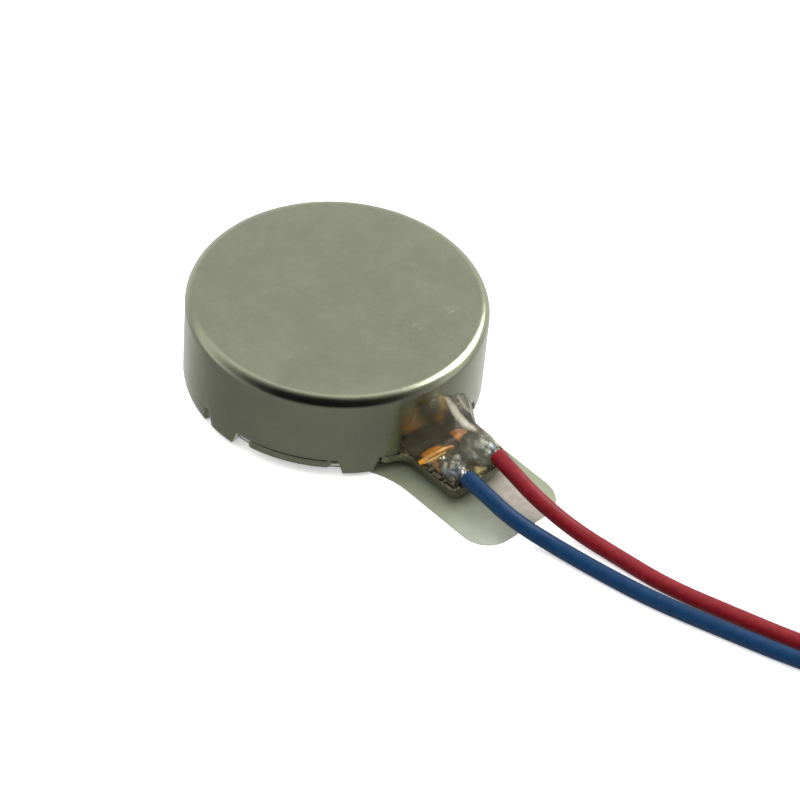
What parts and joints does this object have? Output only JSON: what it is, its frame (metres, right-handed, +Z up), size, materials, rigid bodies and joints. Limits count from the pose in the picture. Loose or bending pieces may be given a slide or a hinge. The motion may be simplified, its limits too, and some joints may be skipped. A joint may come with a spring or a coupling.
{
  "type": "coin vibration motor",
  "caption": "Flat round brush motor with an eccentric rotor in a drawn steel case, with two soldered leads on a glued tail and an adhesive backing with a pull tab.",
  "frame": {"origin": "on the shaft axis, at the underside of the release liner that the motor rests on", "axes": "+Z up along the shaft towards the closed top of the case, +X along the tail towards the leads and the pull tab"},
  "size_m": [0.0292, 0.0156, 0.0034],
  "materials": {
    "case_steel": "nickel-plated drawn steel, satin with fine scratches",
    "bracket_steel": "nickel-plated stamped steel",
    "tape": "double-sided acrylic tape",
    "liner": "thin translucent silicone-coated release film",
    "shaft_steel": "ground hardened steel",
    "washer_film": "polyester film",
    "magnet": "nickel-coated neodymium magnet",
    "flex": "amber polyimide film",
    "pad_copper": "tinned copper pad",
    "brush_alloy": "gold-flashed spring alloy",
    "solder": "bright solder",
    "bearing_bronze": "sintered oil-filled bronze",
    "board": "glass-epoxy board",
    "segment_gold": "gold-plated copper",
    "coil_copper": "self-bonding enamelled copper wire",
    "weight_alloy": "sintered tungsten alloy",
    "moulding": "black engineering resin",
    "tinned_strands": "tinned stranded copper",
    "glue": "clear cured adhesive",
    "red_insulation": "soft extruded insulation, slight sheen",
    "blue_insulation": "soft extruded insulation, slight sheen",
    "tie_nylon": "natural nylon"
  },
  "bodies": {
    "stator": {"case": "case_steel", "bracket": "bracket_steel", "tape_disc": "tape", "release_liner": "liner", "shaft": "shaft_steel", "lower_washer": "washer_film", "upper_washer": "washer_film", "ring_magnet": "magnet", "flex_circuit": "flex", "solder_pads": "pad_copper", "brush_positive": "brush_alloy", "brush_negative": "brush_alloy", "brush_solder": "solder", "red_strands": "tinned_strands", "blue_strands": "tinned_strands", "red_solder_joint": "solder", "blue_solder_joint": "solder", "glue_bead": "glue", "red_lead": "red_insulation", "blue_lead": "blue_insulation", "lead_coil": "blue_insulation", "red_lead_tip": "tinned_strands", "blue_lead_tip": "tinned_strands", "coil_tie": "tie_nylon"},
    "rotor": {"bearing": "bearing_bronze", "commutator_board": "board", "commutator_segments": "segment_gold", "rotor_coil_a": "coil_copper", "rotor_coil_b": "coil_copper", "counterweight": "weight_alloy", "rotor_moulding": "moulding"}
  },
  "joints": [
    {"name": "rotor_spin", "type": "hinge", "parent": "stator", "child": "rotor", "pos_m": [0, 0, 0.0021], "axis": [0, 0, 1], "continuous": true}
  ]
}
